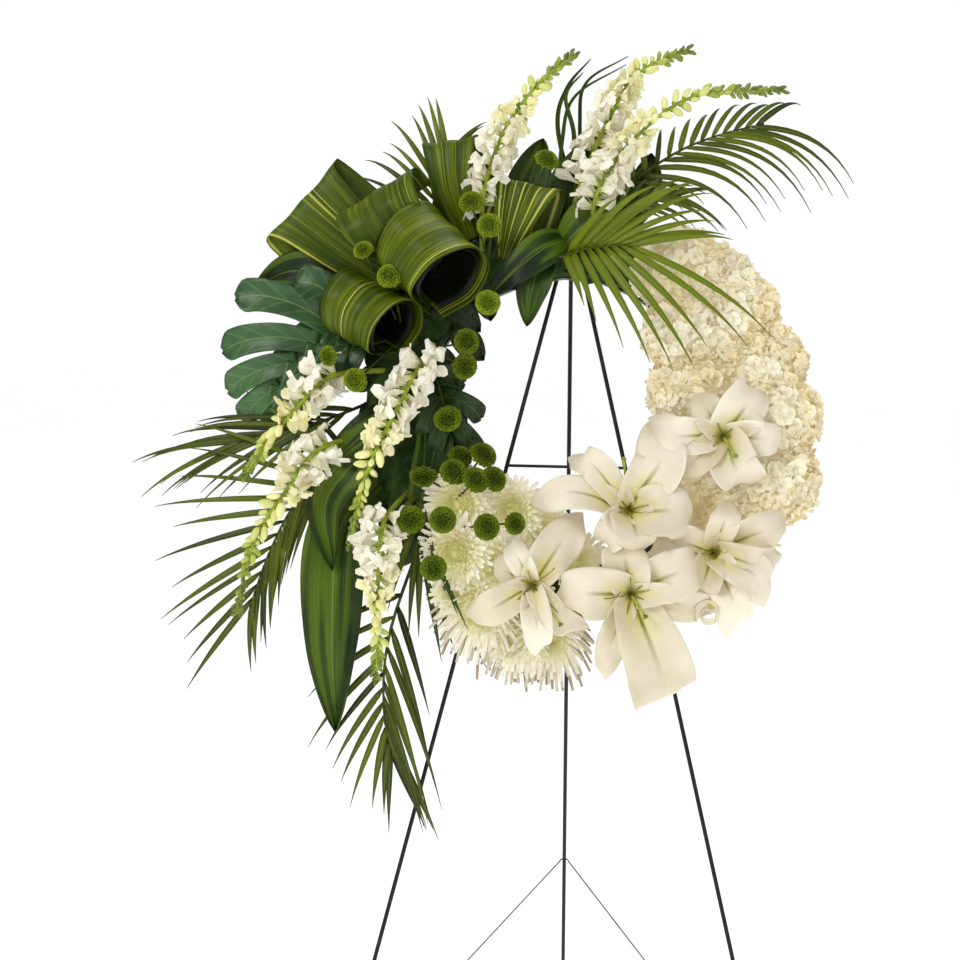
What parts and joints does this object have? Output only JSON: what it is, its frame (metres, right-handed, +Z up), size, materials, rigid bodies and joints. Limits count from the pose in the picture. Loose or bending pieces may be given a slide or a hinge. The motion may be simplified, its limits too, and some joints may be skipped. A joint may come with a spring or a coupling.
{
  "type": "funeral wreath on a wire easel",
  "caption": "Ring of lilies, hydrangeas, chrysanthemums, snapdragons and tropical leaves, hung on a three-legged folding wire easel.",
  "frame": {"origin": "on the ground, under the middle of the whole object's box", "axes": "+Z up, +X to the right of somebody who faces the flowers, -Y towards them"},
  "size_m": [1.0456, 0.7574, 1.7584],
  "materials": {
    "black_wire": "black enamelled steel wire, satin",
    "bright_wire": "thin dark steel wire",
    "tray": "dark green moulded plastic, satin",
    "foam": "wet floral foam, matt and grainy",
    "green_mums": "button chrysanthemum, packed ray florets",
    "lilies": "lily petals, soft satin with a green throat",
    "rolled_leaves": "variegated leaf, waxy with yellow stripes",
    "broad_leaves": "dark waxy leaf with a pale midrib",
    "snapdragons": "cream florets and lime buds on a green stem",
    "white_mums": "cream ray petals, yellow-green hearts",
    "hydrangeas": "cream florets, matt",
    "palm": "glossy narrow leaflets",
    "monstera": "bluish green waxy leaf"
  },
  "bodies": {
    "front_frame": {"hinge_pin": "black_wire", "left_front_leg": "black_wire", "right_front_leg": "black_wire", "crossbar": "black_wire", "hanger_staple": "bright_wire", "tray_ring": "tray", "foam_ring": "foam", "button_spray_1": "green_mums", "button_spray_2": "green_mums", "button_spray_3": "green_mums", "button_spray_4": "green_mums", "lily_front": "lilies", "lily_left": "lilies", "lily_middle": "lilies", "lily_top": "lilies", "lily_right": "lilies", "leaf_loop_front": "rolled_leaves", "leaf_loop_lower": "rolled_leaves", "leaf_loop_middle": "rolled_leaves", "leaf_loop_outer": "rolled_leaves", "leaf_loop_top": "rolled_leaves", "leaf_loop_striped": "rolled_leaves", "snapdragon_1": "snapdragons", "snapdragon_2": "snapdragons", "snapdragon_3": "snapdragons", "snapdragon_4": "snapdragons", "snapdragon_5": "snapdragons", "snapdragon_6": "snapdragons", "snapdragon_7": "snapdragons", "white_mum_1": "white_mums", "white_mum_2": "white_mums", "white_mum_3": "white_mums", "white_mum_4": "white_mums", "white_mum_5": "white_mums", "white_mum_6": "white_mums", "hydrangea_1": "hydrangeas", "hydrangea_2": "hydrangeas", "hydrangea_3": "hydrangeas", "hydrangea_4": "hydrangeas", "hydrangea_5": "hydrangeas", "hydrangea_6": "hydrangeas", "hydrangea_7": "hydrangeas", "palm_frond_1": "palm", "palm_frond_2": "palm", "palm_frond_3": "palm", "palm_frond_4": "palm", "palm_frond_5": "palm", "palm_frond_6": "palm", "palm_frond_7": "palm", "broad_leaf_1": "broad_leaves", "broad_leaf_2": "broad_leaves", "broad_leaf_3": "broad_leaves", "broad_leaf_4": "broad_leaves", "broad_leaf_5": "broad_leaves", "monstera_leaf_1": "monstera", "monstera_leaf_2": "monstera"},
    "rear_leg": {"rear_leg": "black_wire"},
    "brace": {"brace_loop": "bright_wire", "brace_left_arm": "bright_wire", "brace_right_arm": "bright_wire"}
  },
  "joints": [
    {"name": "rear_leg_hinge", "type": "hinge", "parent": "front_frame", "child": "rear_leg", "pos_m": [0.11562, -0.11953, 1.46], "axis": [1, 0, 0], "range_deg": [-24.5, 0]},
    {"name": "brace_hinge", "type": "hinge", "parent": "front_frame", "child": "brace", "pos_m": [0.11562, -0.289, 0.20235], "axis": [1, 0, 0], "range_deg": [0, 56]}
  ],
  "couplings": [
    {"joint": "brace_hinge", "follows": "rear_leg_hinge", "ratio": -2.25}
  ]
}
